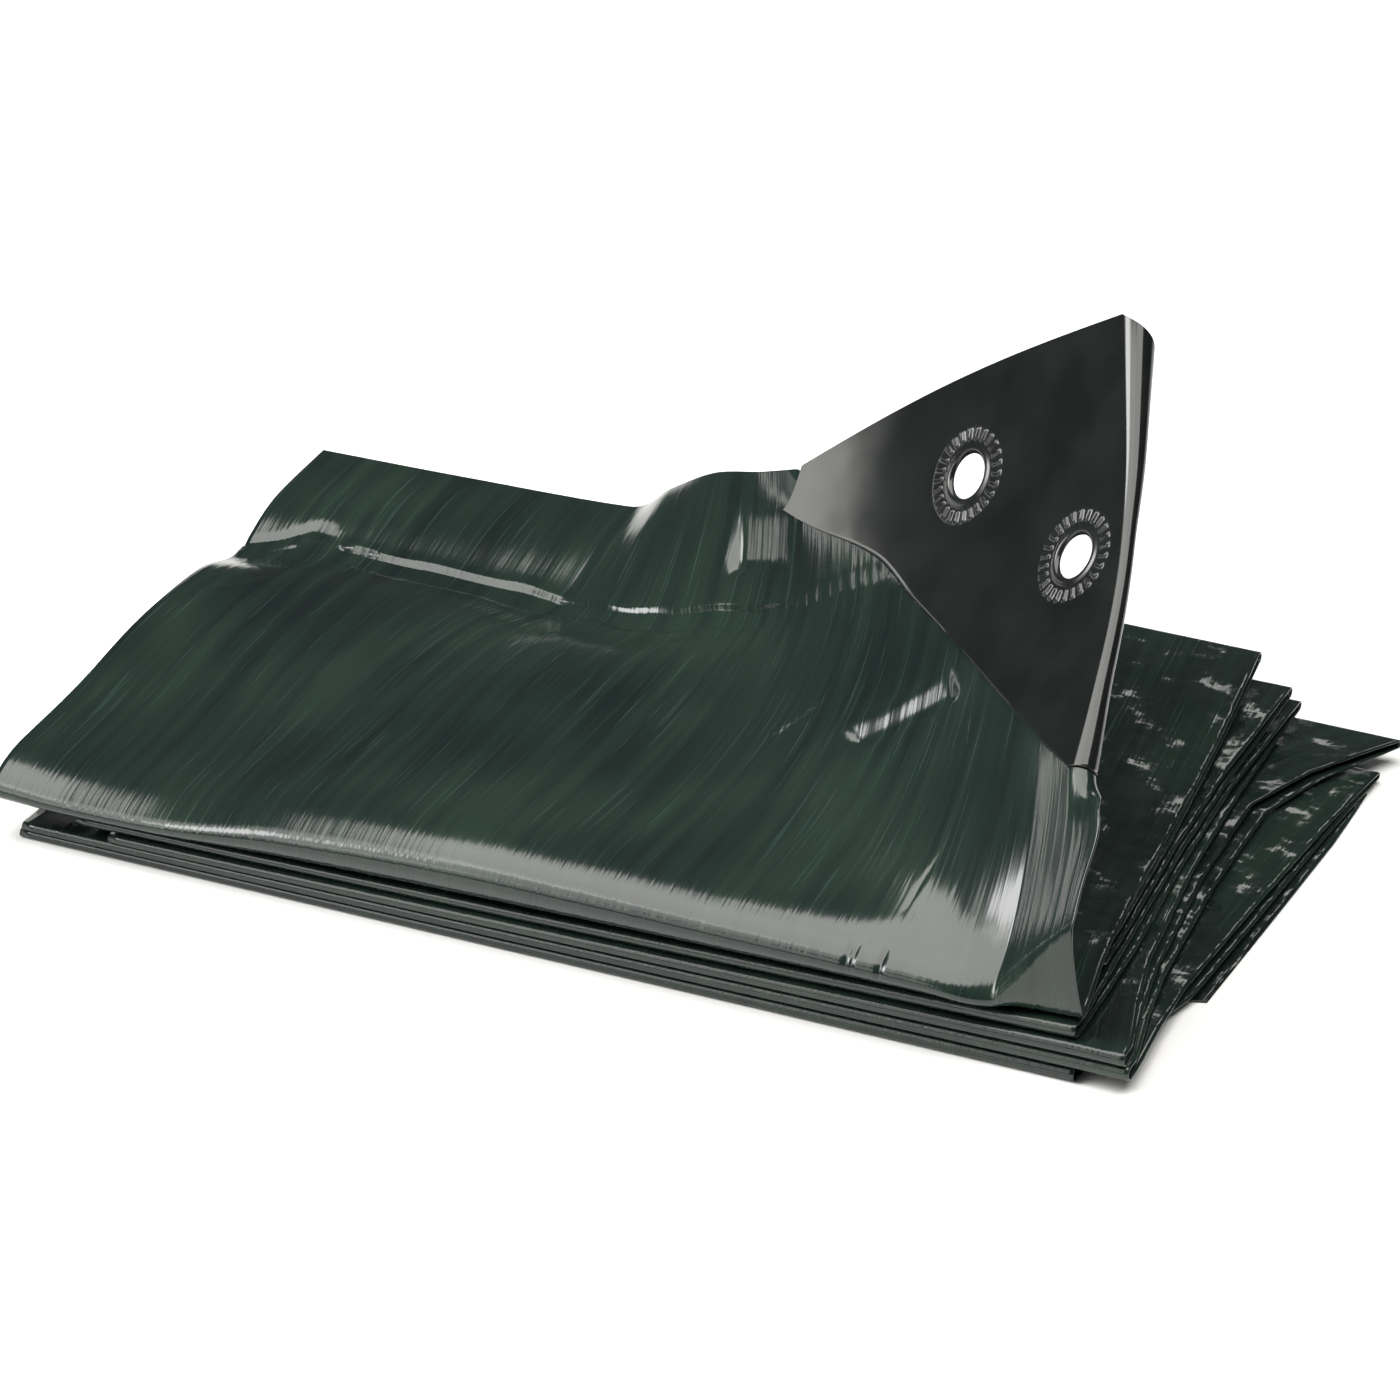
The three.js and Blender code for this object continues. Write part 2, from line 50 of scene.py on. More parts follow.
# The film and its pile
FILM = 0.45  # thickness of the film as shown
PLY_PITCH = 1.22  # closest spacing of two plies
PLY_LOWEST = 0.3  # height of the middle of the bottom ply
PANEL_DEPTH = 190.0  # top panel from the front crest to the back hem
KINK = np.array([-29.0, 0.0, 25.4])  # where the front crest turns up
CREST_END = np.array([-9.3, -0.3, 45.3])
ALONG_FROM, RIGHT_EDGE = -285.0, 23.0  # the panel's two ends
ROLL_START = 14.0  # the right hem rolls back from here
ROLL_LOWER, ROLL_UPPER = 33.0, 57.0  # the roll grows from none to tight between these distances back
ROLL_TURN = 2.6  # radians that the hem turns
FLARE = (31.0, 14.0, 0.4)  # the hem is wider here: distance back, width of the bell, share added
CORNER = np.array([-53.5, 136.1, 143.5])  # raised corner
HEM_WAY, HEM_BOW = (-79.2, -36.6), 3.7  # bearing and climb of the back hem from the corner, and its arch
PATCH_LEFT = -113.0  # about the patch's left end; the panel is fully lifted from here on
PATCH_END_SEAM, PATCH_END_HEM = -119.0, -111.0  # the patch's left end at the seam and at the hem
PATCH_SLANT = 1.05  # drop of the patch's top edge round the rolled hem, for each millimetre along
PATCH_BEND = 0.6  # the patch runs straight on to the left of PATCH_LEFT plus this
PATCH_FILM = 0.4
PATCH_LIFT = 0.75  # patch over film, middle to middle
LAP, LAP_STEPS = 14.0, 3  # film running on under the patch, and its rows
LIFT_FROM = -197.0  # the panel is flat to the left of this and fully lifted from the patch on
EDGE_FROM, EDGE_WAY = -25.0, (-21.0, 33.0)  # right of this it turns to the right hem's bearing and climb
LOOSE_LEFT, LOOSE_RIGHT, LOOSE_POWER = -308.0, -8.0, 1.3  # the pile's looseness grows from left to right
SWELL, SWELL_DEPTH = 0.34, 7.0  # the two plies of a front fold part by this share, within this depth
# The top ply sinks by this many plies within this depth, as the two under it start further back
TOP_SINK, TOP_SINK_DEPTH = 2.0, 24.0
SPREAD_BACK, SPREAD_FROM, SPREAD_OVER = 2.0, 60.0, 110.0  # towards the back the upper plies part more
GIVEN_DEPTHS = (45, 137)  # depths at which the right ends of the plies are given
FLAP_DEPTHS, FLAP_DRIFT = (43, 47), 4  # the bottom ply's right end drifts out, then steps out between these

# The big front fold: strength of its curve at the crest and at the foot, each left and right of the kink
FACE_OVER, FACE_UNDER = (52.0, 15.0), (12.0, 6.0)
FACE_RIGHT_FROM, FACE_RIGHT_OVER = -12.0, 30.0
FACE_CLIMB_FROM, FACE_CLIMB_OVER = -20.0, 20.0
PINCH_WAY = np.array([0.0, 0.8, -0.6])
PINCH_FOOT, PINCH_CREST = 0.2, 0.12  # shares of the face over which a pinch fades in and out
SHOULDER, SHOULDER_DEPTH, SHOULDER_FADE = 1.25, 10.0, 45.0  # rise behind the crest, its reach and its fade
SHOULDER_END, SHOULDER_END_FADE = -40.0, 35.0  # and where it ends towards the right

CREST = {
    "along": [-285, -262, -240, -198, -140, -39, 0],
    "z": [20, 18.8, 19.2, 24.5, 27.5, 26.6, 25.4],
}
HEM = {
    "along": [-285, -240, -197, -176, -152, -133, -113],
    "x": [-314, -269, -218.8, -202.9, -185.6, -168.4, -153.7],
    "y": [188, 188, 187, 180.4, 172.1, 163.5, 155.2],
    "z": [23.4, 24.4, 26.8, 39.1, 51.7, 59.8, 67.8],
}
LIFT = {
    "back": [30, 62, 95, 131, 164, 190],
    "bearing": [-1.6, -5.6, -9.1, -17.7, -24.3, -24.5],
    "climb": [31.2, 31.2, 32.5, 34.8, 38.6, 43.1],
}
ROLL = {"back": [57, 90, 125, 150, 190], "radius": [3.7, 1.9, 1.5, 2.4, 4.4]}
SEAM = {"along": [-119, -108, -80, -66, -27, -3, 14], "back": [180.5, 171.5, 150.8, 134, 94.1, 72.8, 59]}
START = {"along": [-90, -50, -20, 0, 23], "bearing": [0, 0, 0, -3, -8], "climb": [0, 3, 16, 33, 37]}
HUMP = (76.0, 34.0)
RELIEF = {
    "along": [-285, -250, -225, -197, -170, -157, -140, -120, -95, 23],
    "hump": [3.2, 2.8, 2.5, 2, 1.6, 1.2, 0.8, 0.5, 0.2, 0],
    "crease": [6.2, 4.4, 5.8, 8.4, 12.2, 11, 6, 3.2, 1.2, 0],
    "back": [136, 142, 142, 142, 142, 142, 140, 140, 142, 142],
    "width": [15, 15, 18, 23, 28, 26, 20, 16, 15, 15],
}
LOOSE = {
    "y": [-5, 45, 100, 140, 165, 190],
    "left": [0, 0.5, 1, 1.2, 4.5, 8.6],
    "right": [8.5, 8, 6, 6, 7.5, 9.2],
}
PLIES = {
    "left": [-308, -308, -307, -307, -281, -281, -291, -291, -297, -297, -314],
    "right": [-7, -7, 8, 8, 7, 7, -7, -7, -10, -10, -6],
    "right45": [9, 6, 4, -2, -4, -6, -10, -12, -13, -14, -14],
    "right137": [9.4, 7, 6, -10, -14, -18, -20, -21, -22, -26, -26],
    "far_right": [8, 8.5, 8.5, 9.5, 9.5, -20, -20, -22, -22, -33, -33],
    "far_left": [-304, -305, -305, -307, -307, -304, -304, -300, -300, -306, -306],
    "near": [-4, -4, -4.5, -4.5, -5, -5, -3.5, -3.5, 27, 27, -1],
    "far": [165, 173, 173, 186, 186, 188, 188, 186, 186, 191, 191],
}
TOP_PLY = 10

# Creases of the top panel, each a line of (along, back) points with its half width and its depth.
# A trough has a positive depth and a ridge a negative one.
PANEL_CREASES = [
    ([(-31, 12), (-30.3, 24), (-27.5, 40), (-29.5, 60), (-36, 96), (-41, 116)], 0.55, 0.16),
    ([(-279, 98), (-264, 115)], 1.0, -0.35),
    ([(-285, 141), (-276, 145), (-268, 151), (-261, 150), (-257, 146.5)], 1.3, 0.6),
    ([(-284, 137), (-277, 139), (-271, 144)], 1.0, -0.5),
]
# Soft ridges of the top panel: two (along, back) ends, width in front, fall behind and height.
PANEL_RIDGES = [
    ((-102, 79), (-86, 105), 2.2, 2.6, 0.6),
    ((-150, 127), (-126, 132), 3.0, 4.0, 0.7),
]
# Places where the top panel is pressed flat: middle (along, back), way of the long side, half sizes, fade,
# and the bearing and climb of the way the flat faces.
PANEL_FLATS = [
    ((-128.0, 168.0), (1.0, 0.0), (12.0, 10.0), 3.0, (-139.7, 30.9)),
    ((-60.0, 91.0), (29.0, 15.0), (17.0, 6.0), 6.0, (-155.5, 42.4)),
]
# Pinches across the face of the big front fold: place along it, half width and depth.
FACE_PINCHES = [(-39.2, 0.6, 0.5), (-37.6, 0.5, 0.4), (-30.0, 0.7, 0.55)]
# The cross crease, a shallow trench across the panel. Its two edges: distance back, waves of (height,
# millimetres for a radian, phase), and width of the step.
CROSS_UPPER = (146.5, [(0.5, 9.0, 0.0), (0.35, 3.7, 1.0)], 1.0)
CROSS_LOWER = (137.5, [(0.7, 6.1, 0.0), (0.4, 2.9, 0.0)], 1.2)
CROSS_DEPTH, CROSS_FROM, CROSS_FADE = 0.8, -262.0, 8.0
CROSS_SHALLOW, CROSS_SHALLOW_FROM, CROSS_SHALLOW_FADE = 0.3, -122.0, 20.0
# Raised borders outside its edges: height, distance from the edge and width. The lower one comes and goes.
CROSS_RIM, CROSS_LIP, CROSS_LIP_WAVE = (0.3, 1.2, 1.2), (0.35, 1.3, 1.1), 3.3


def ease(t):
    """Smooth step from 0 to 1: three t squared less two t cubed."""
    t = np.clip(t, 0.0, 1.0)
    return t * t * (3.0 - 2.0 * t)


def bell(t, middle, width):
    """Bell curve: e to the minus square of the distance over the width."""
    return np.exp(-(((t - middle) / width) ** 2))


def mix(a, b, t):
    """Straight mix: a where t is 0, b where t is 1."""
    return a + (b - a) * t


def unit(v):
    """Vectors divided by their lengths."""
    return v / np.linalg.norm(v, axis=-1, keepdims=True)


def between(table, key, column, where):
    """Cubic through a table's column that never overshoots: slopes are harmonic means of the steps beside."""
    x, y = np.asarray(table[key], float), np.asarray(table[column], float)
    at = np.clip(where, x[0], x[-1])
    i = np.clip(np.searchsorted(x, at, side="left") - 1, 0, len(x) - 2)
    step = np.diff(y) / np.diff(x)
    same = step[:-1] * step[1:] > 0
    total = np.where(same, step[:-1] + step[1:], 1.0)
    slope = np.concatenate([step[:1], np.where(same, 2 * step[:-1] * step[1:] / total, 0.0), step[-1:]])
    width = x[i + 1] - x[i]
    t = (at - x[i]) / width
    rise = y[i] * (2 * t**3 - 3 * t**2 + 1) + y[i + 1] * (3 * t**2 - 2 * t**3)
    return rise + width * (slope[i] * (t**3 - 2 * t**2 + t) + slope[i + 1] * (t**3 - t**2))


def heading(bearing, climb):
    """Unit direction with a bearing from +y towards +x and a climb, both in degrees."""
    b, c = np.radians(bearing), np.radians(climb)
    parts = np.broadcast_arrays(np.sin(b) * np.cos(c), np.cos(b) * np.cos(c), np.sin(c))
    return np.stack(parts, -1)


def lift_direction(back):
    """Unit direction of the lifted corner's film towards the back."""
    return heading(between(LIFT, "back", "bearing", back), between(LIFT, "back", "climb", back))


def lift_drop(back):
    """Way from the back hem down the lifted corner: the sum of the lift directions over 24 short steps."""
    steps = 24
    width = (PANEL_DEPTH - back) / steps
    return -sum(width[..., None] * lift_direction(back + width * (i + 0.5)) for i in range(steps))


def hem_point(along):
    """Back hem: through the table on the left, an arched line down from the corner under the patch."""
    left = np.stack([between(HEM, "along", axis, along) for axis in "xyz"], -1)
    right = CORNER + (ROLL_START - along)[..., None] * heading(*HEM_WAY)
    share = np.clip((ROLL_START - along) / (ROLL_START - PATCH_LEFT), 0, 1)
    right[..., 2] += HEM_BOW * np.sin(math.pi * share)
    return np.where((along < PATCH_LEFT)[..., None], left, right)


def crest_point(along):
    """Front crest: level along x at the table's height, then straight up to its right end."""
    left = np.stack([KINK[0] + along, KINK[1] + 0 * along, between(CREST, "along", "z", along)], -1)
    right = KINK + (CREST_END - KINK) * (along / RIGHT_EDGE)[..., None]
    return np.where((along > 0)[..., None], right, left)


def seam_back(along):
    """Distance from the crest to the patch's slanting seam."""
    return between(SEAM, "along", "back", along)


def open_panel(along, back):
    """Top panel without its rolled hem: cubics from the crest to the seam, then down from the back hem."""
    along, back = np.broadcast_arrays(np.asarray(along, float), np.asarray(back, float))
    lifted = ease((along - LIFT_FROM) / (PATCH_LEFT - LIFT_FROM))[..., None]
    towards_edge = ease((along - EDGE_FROM) / (ROLL_START - EDGE_FROM))[..., None]
    seam, hem = seam_back(along), hem_point(along)
    seam_way = unit(mix(np.array([0.0, 1.0, 0.0]), lift_direction(seam), lifted))
    flat_side = (along < PATCH_LEFT)[..., None]
    straight = hem + seam_way * (back - PANEL_DEPTH)[..., None]
    beyond = np.where(flat_side, straight, hem + lift_drop(back))
    end = np.where(flat_side, hem + seam_way * (seam - PANEL_DEPTH)[..., None], hem + lift_drop(seam))
    start = crest_point(along)
    start_way = heading(between(START, "along", "bearing", along), between(START, "along", "climb", along))
    end_way = unit(mix(seam_way, heading(*EDGE_WAY), towards_edge))
    reach = np.linalg.norm(end - start, axis=-1, keepdims=True)
    t = np.clip(back / seam, 0, 1)[..., None]
    point = start * (2 * t**3 - 3 * t**2 + 1) + end * (3 * t**2 - 2 * t**3)
    point = point + reach * (start_way * (t**3 - 2 * t**2 + t) + end_way * (t**3 - t**2))
    relief = {name: between(RELIEF, "along", name, along) for name in RELIEF if name != "along"}
    height = relief["hump"] * bell(back, *HUMP)
    height = height - relief["crease"] * bell(back, relief["back"], relief["width"])
    point = point + np.array([0.0, 0.0, 1.0]) * height[..., None]
    return np.where((back > seam)[..., None], beyond, point)


def panel_frame(along, back):
    """Across and outward unit directions of the open panel, from small steps in along and back."""
    step = 0.5
    across = unit(open_panel(along + step, back) - open_panel(along - step, back))
    inward = open_panel(along, np.minimum(back + step, PANEL_DEPTH)) - open_panel(along, back - step)
    return across, unit(np.cross(across, inward))


def panel_point(along, back, lift=0.0):
    """Top panel with its right hem rolled back round a circle, lifted off its middle surface."""
    along, back = np.broadcast_arrays(np.asarray(along, float), np.asarray(back, float))
    start = np.minimum(along, ROLL_START)
    over = (along - start) * (1 + FLARE[2] * bell(back, FLARE[0], FLARE[1]))
    across, outward = panel_frame(start, np.maximum(back, 1.0))
    tightness = ease((back - ROLL_LOWER) / (ROLL_UPPER - ROLL_LOWER))
    turn = ROLL_TURN * over / (RIGHT_EDGE - ROLL_START)
    angle = np.maximum(tightness * turn, 1e-9)
    arc = (tightness * mix(over, turn * between(ROLL, "back", "radius", back), tightness))[..., None]
    unrolled = mix(open_panel(start + over, back), open_panel(start, back), tightness[..., None])
    round_way = across * (np.sin(angle) / angle)[..., None]
    back_way = outward * ((1 - np.cos(angle)) / angle)[..., None]
    normal = outward * np.cos(angle)[..., None] + across * np.sin(angle)[..., None]
    return unrolled + arc * (round_way - back_way) + normal * np.asarray(lift)[..., None]


def distance_to(line, along, back):
    """Distance of each (along, back) point from a line of short straight pieces."""
    line = np.asarray(line, float)
    nearest = np.full(np.shape(along), np.inf)
    for a, b in zip(line[:-1], line[1:]):
        way = b - a
        share = np.clip(((along - a[0]) * way[0] + (back - a[1]) * way[1]) / (way @ way), 0, 1)
        gap = np.hypot(along - a[0] - share * way[0], back - a[1] - share * way[1])
        nearest = np.minimum(nearest, gap)
    return nearest


def ridge(along, back, start, end, front, behind, height):
    """Soft ridge on a straight line: a smooth step up in front and one down behind, faded at its ends."""
    way = np.array(end, float) - start
    length = math.hypot(*way)
    share = ((along - start[0]) * way[0] + (back - start[1]) * way[1]) / length**2
    side = (way[0] * (back - start[1]) - way[1] * (along - start[0])) / length
    rise = np.where(side < 0, ease(1 + side / front), ease(1 - side / behind))
    return height * rise * ease(share / 0.25) * ease((1 - share) / 0.25)


def press_flat(points, along, back):
    """Panel points moved onto a plane inside each flat place, with a soft border round it.

    The plane goes through the open panel's point in the middle of the place.
    """
    for middle, way, half, fade, faces in PANEL_FLATS:
        way = unit(np.array(way))
        lengthways = (along - middle[0]) * way[0] + (back - middle[1]) * way[1]
        sideways = (back - middle[1]) * way[0] - (along - middle[0]) * way[1]
        inside = ease((half[0] - abs(lengthways)) / fade + 0.5)
        inside = inside * ease((half[1] - abs(sideways)) / fade + 0.5)
        facing = heading(*faces)
        off = (points - open_panel(np.array([middle[0]]), np.array([middle[1]]))) @ facing
        points = points - (inside * off)[..., None] * facing
    return points


def waves(along, terms):
    """Sum of sines, each with its height, its millimetres for a radian and its phase."""
    return sum(height * np.sin(along / length + phase) for height, length, phase in terms)


def panel_creases(along, back):
    """Height that the creases add to the panel: soft ridges, bells across lines, and the cross crease.

    The cross crease is a shallow flat trench between two steps. It starts a little in from the left end.
    """
    height = sum(ridge(along, back, *line) for line in PANEL_RIDGES)
    for line, width, depth in PANEL_CREASES:
        height = height - depth * bell(distance_to(line, along, back), 0, width)
    (upper, upper_waves, upper_step), (lower, lower_waves, lower_step) = CROSS_UPPER, CROSS_LOWER
    upper, lower = upper + waves(along, upper_waves), lower + waves(along, lower_waves)
    begun = ease((along - CROSS_FROM) / CROSS_FADE)
    shallow = ease((along - CROSS_SHALLOW_FROM) / CROSS_SHALLOW_FADE)
    depth = CROSS_DEPTH * begun * mix(1.0, CROSS_SHALLOW, shallow)
    trench = ease((upper - back) / upper_step + 0.5) * ease((back - lower) / lower_step + 0.5)
    rise, gap, width = CROSS_LIP
    lip = rise * bell(back, lower - gap, width) * begun * (0.5 + 0.5 * np.sin(along / CROSS_LIP_WAVE))
    rise, gap, width = CROSS_RIM
    rim = rise * bell(back, upper + gap, width) * begun
    return height - depth * trench + lip + rim


def ply_height(index, x, y):
    """Height of a ply's middle: closest pitch times its place, plus its share of the pile's looseness.

    The two plies of a front fold swell apart towards its edge: a bell of the distance from it.
    """
    side = np.clip((x - LOOSE_LEFT) / (LOOSE_RIGHT - LOOSE_LEFT), 0, 1) ** LOOSE_POWER
    loose = mix(between(LOOSE, "y", "left", y), between(LOOSE, "y", "right", y), side)
    level = float(index)
    if index == TOP_PLY:
        level = mix(index - TOP_SINK, index, ease(y / TOP_SINK_DEPTH))
    spread = mix(1.0, SPREAD_BACK, ease((y - SPREAD_FROM) / SPREAD_OVER))
    swell = SWELL * (PLY_PITCH + loose / TOP_PLY) * bell(y, PLIES["near"][index], SWELL_DEPTH)
    upper = 1.0 if index == TOP_PLY else 2.0 * (index % 2)
    return PLY_LOWEST + PLY_PITCH * level + loose * (level / TOP_PLY) ** spread + swell * upper


def ply_point(index, share, y):
    """Point of a ply: its share of the way from its left to its right end at a depth y."""
    ply = {name: float(values[index]) for name, values in PLIES.items()}
    y = np.broadcast_to(np.asarray(y, float), np.shape(share))
    ends = {
        "y": [0, *GIVEN_DEPTHS, ply["far"]],
        "x": [ply["right"], ply["right45"], ply["right137"], ply["far_right"]],
    }
    if index == 0:
        ends["y"] = [0, *FLAP_DEPTHS, GIVEN_DEPTHS[1], ply["far"]]
        ends["x"].insert(1, ply["right"] + FLAP_DRIFT)
    right = between(ends, "y", "x", y)
    left = mix(ply["left"], ply["far_left"], np.clip(y / ply["far"], 0, 1))
    x = mix(left, right, share)
    return np.stack([x, y, ply_height(index, x, y)], -1)


def spaced(low, high, count, humps):
    """Places from low to high, closer together round each hump of (place, width, extra density)."""
    fine = np.linspace(low, high, 6000)
    density = 1.0 + sum(extra * bell(fine, place, width) for place, width, extra in humps)
    total = np.concatenate([[0.0], np.cumsum((density[1:] + density[:-1]) / 2)])
    return np.interp(np.linspace(0, total[-1], count + 1), total, fine)


# Grids. The face and the panel have FINER steps along for each of the pile's COARSE ones.
COARSE, FINER = 100, 3
ALONG_HUMPS = [(-34, 7, 1.6), (0, 5, 1.0), (19, 6, 2.2), (-124, 4, 0.8)]
ALONG = spaced(ALONG_FROM, RIGHT_EDGE, FINER * COARSE, ALONG_HUMPS)
SHARE = (ALONG - ALONG_FROM) / (RIGHT_EDGE - ALONG_FROM)
STATIONS = [3, 9, 24, 45, 95, 137, 160]  # depths at which a ply has a row of points
BOTTOM_STATIONS = [3, 9, 24, 43, 47, 95, 137, 155]
STATION_GAP = 6  # a ply has no row nearer to its front end than this
BEND_STEPS, FACE_STEPS, PANEL_STEPS = 6, 22, 84
BACK_HUMPS = [(0.0, 0.03, 2.0), (0.79, 0.035, 3.6), (0.57, 0.1, 0.8)]


def bend_rows(index, at_front, share):
    """Rows of a half circle from a ply to the next one, with its outermost point at the plies' edge."""
    edge = PLIES["near" if at_front else "far"][index]
    out = -1.0 if at_front else 1.0
    lower, upper = ply_point(index, share, edge), ply_point(index + 1, share, edge)
    radius = (upper[:, 2] - lower[:, 2]) / 2
    middle = (upper + lower) / 2
    rows = []
    for i in range(BEND_STEPS + 1):
        turn = math.pi * (i / BEND_STEPS - 0.5)
        row = middle.copy()
        row[:, 0] = mix(lower[:, 0], upper[:, 0], i / BEND_STEPS)
        row[:, 1] = edge + out * radius * (math.cos(turn) - 1.0)
        row[:, 2] = middle[:, 2] + radius * math.sin(turn)
        rows.append(row)
    return rows


def pile_rows():
    """Rows of the pile, from the free end of the bottom ply to the foot of the big front fold."""
    share = SHARE[::FINER]
    rows = [ply_point(0, share, PLIES["far"][0])]
    for index in range(TOP_PLY + 1):
        at_front = index % 2 == 0
        stations = BOTTOM_STATIONS if index == 0 else STATIONS
        stations = [y for y in stations if y > PLIES["near"][index] + STATION_GAP]
        for y in stations[::-1] if at_front else stations:
            rows.append(ply_point(index, share, y))
        if index < TOP_PLY:
            rows += bend_rows(index, at_front, share)
    return np.array(rows)


def face_rows():
    """Face of the big front fold: a cubic from the top ply's edge, forward and up, and back over the crest.

    Right of the kink it is flatter and ends in the slope of the lifted panel.
    """
    foot, crest = ply_point(TOP_PLY, SHARE, 0.0), crest_point(ALONG)
    right = ease((ALONG - FACE_RIGHT_FROM) / FACE_RIGHT_OVER)[:, None]
    slope = math.degrees(math.atan(2 * SHOULDER / SHOULDER_DEPTH))
    turned = ease((ALONG - FACE_CLIMB_FROM) / FACE_CLIMB_OVER)
    climb = mix(slope, between(START, "along", "climb", ALONG), turned)
    start_way = np.array([0.0, -1.0, 0.0]) * mix(*FACE_UNDER, right)
    end_way = heading(0.0, climb) * mix(*FACE_OVER, right)
    pinch = sum(depth * bell(ALONG, place, width) for place, width, depth in FACE_PINCHES)[:, None]
    rows = []
    for i in range(FACE_STEPS):
        t = i / FACE_STEPS
        curve = mix(foot, crest, t * t * (3 - 2 * t)) + start_way * (t**3 - 2 * t**2 + t)
        curve = curve + end_way * (t**3 - t**2)
        held = ease(t / PINCH_FOOT) * ease((1 - t) / PINCH_CREST)
        rows.append(curve + PINCH_WAY * pinch * held)
    return np.array(rows)


def panel_rows():
    """Top panel from the crest to its seam in shares of that way, and on under the patch."""
    share = spaced(0.0, 1.0, PANEL_STEPS, BACK_HUMPS)
    seam = seam_back(ALONG)
    under = [np.minimum(PANEL_DEPTH, seam + LAP * k / LAP_STEPS) for k in range(1, LAP_STEPS + 1)]
    back = np.concatenate([share[:, None] * seam, under])
    along = np.broadcast_to(ALONG, back.shape)
    points = press_flat(panel_point(along, back, panel_creases(along, back)), along, back)
    front = np.minimum(back / SHOULDER_DEPTH, 1.0)
    shoulder = SHOULDER * (1 - (1 - front) ** 2) * (1 - ease((back - SHOULDER_DEPTH) / SHOULDER_FADE))
    points[..., 2] += shoulder * (1 - ease((along - SHOULDER_END) / SHOULDER_END_FADE))
    return points, back


def developed(rows):
    """Place of each row down the film: 0 at the last row and minus its distance from it at the others.

    Distances are summed down the middle column.
    """
    steps = np.linalg.norm(np.diff(rows[:, rows.shape[1] // 2], axis=0), axis=-1)
    return -np.concatenate([[0.0], np.cumsum(steps[::-1])])[::-1]


def grid_faces(rows, columns, first=0):
    """Quads of a grid of points counted row by row."""
    i, j = np.meshgrid(np.arange(rows - 1), np.arange(columns - 1), indexing="ij")
    a = first + i * columns + j
    return np.stack([a, a + 1, a + columns + 1, a + columns], -1).reshape(-1, 4)


def make_mesh(name, points, faces, uv):
    """Mesh object at the origin: points in bundle millimetres, corners of faces, and a uv for each point."""
    mesh = bpy.data.meshes.new(name)
    mesh.from_pydata(((points + BUNDLE) * MM).tolist(), [], [list(map(int, f)) for f in faces])
    layer = mesh.uv_layers.new(name="film")
    corner = np.empty(len(mesh.loops), dtype=np.int32)
    mesh.loops.foreach_get("vertex_index", corner)
    layer.data.foreach_set("uv", (uv[corner] / UV_SPAN).astype(np.float32).ravel())
    mesh.shade_smooth()
    mesh.validate()
    piece = bpy.data.objects.new(name, mesh)
    bpy.context.scene.collection.objects.link(piece)
    return piece


def thicken(piece, thickness):
    """Thickness given to a surface, half of it on each side."""
    solid = piece.modifiers.new("thickness", "SOLIDIFY")
    solid.thickness = thickness * MM
    solid.offset = 0.0


def make_film():
    """The whole green film as one surface, and its developed length down the middle.

    The pile's coarse grid is joined to the fine grid of the face and the panel by faces that have FINER
    steps on their fine side. The second texture coordinate is back, and runs below zero before the front
    crest.
    """
    pile = pile_rows()
    face = face_rows()
    panel, back = panel_rows()
    fine = np.concatenate([face, panel])
    coarse_points = pile.reshape(-1, 3)
    fine_points = fine.reshape(-1, 3)
    wide_c, wide_f = pile.shape[1], fine.shape[1]
    first = len(coarse_points)
    faces = grid_faces(len(pile), wide_c).tolist()
    foot = first - wide_c
    for j in range(wide_c - 1):
        fine_edge = [first + FINER * j + k for k in range(FINER, -1, -1)]
        faces.append([foot + j, foot + j + 1] + fine_edge)
    faces += grid_faces(len(fine), wide_f, first).tolist()
    face_v = developed(np.concatenate([face, panel[:1]]))[:-1]
    pile_v = developed(np.concatenate([pile, face[:1, ::FINER]]))[:-1] + face_v[0]
    fine_v = np.concatenate([np.broadcast_to(face_v[:, None], face.shape[:2]), back])
    uv_c = np.stack(np.broadcast_arrays(ALONG[::FINER][None, :], pile_v[:, None]), -1).reshape(-1, 2)
    uv_f = np.stack(np.broadcast_arrays(ALONG[None, :], fine_v), -1).reshape(-1, 2)
    points = np.concatenate([coarse_points, fine_points])
    film = make_mesh("green_film", points, faces, np.concatenate([uv_c, uv_f]))
    thicken(film, FILM)
    return film, -pile_v[0] + PANEL_DEPTH


# The patch and its eyelets. Radii first: hole, lip, flange behind, and rim
HOLE, LIP, BACK_FLANGE, RIM = 6.2, 7.0, 11.0, 13.8
RIDGES_FROM, RIDGES_TO, RIDGES, RIDGE_HEIGHT = 9.9, 13.3, 26, 0.6
RIDGE_POWER, RIDGE_TURNS, RIDGE_END = 1.6, 12, 0.6  # sharpness, points for a ridge, fade at its ends
EYELETS = {
    "eyelet_upper": (ROLL_START - 59.7, PANEL_DEPTH - 28.4),
    "eyelet_lower": (ROLL_START - 16.8, PANEL_DEPTH - 64.4),
}
PATCH_HOLE = 7.6
# Faces with a point further inside the hole than this go, and points up to this outside it move onto it
PATCH_CUT, PATCH_SNAP = 0.6, 0.7
PATCH_COLUMNS, PATCH_ROWS, PATCH_HUMPS = 170, 129, [(130, 6, 1.6)]
PATCH_EDGE_COLUMN, PATCH_EDGE_ROW = 0.12, 0.001  # how close to the border the added columns and rows lie
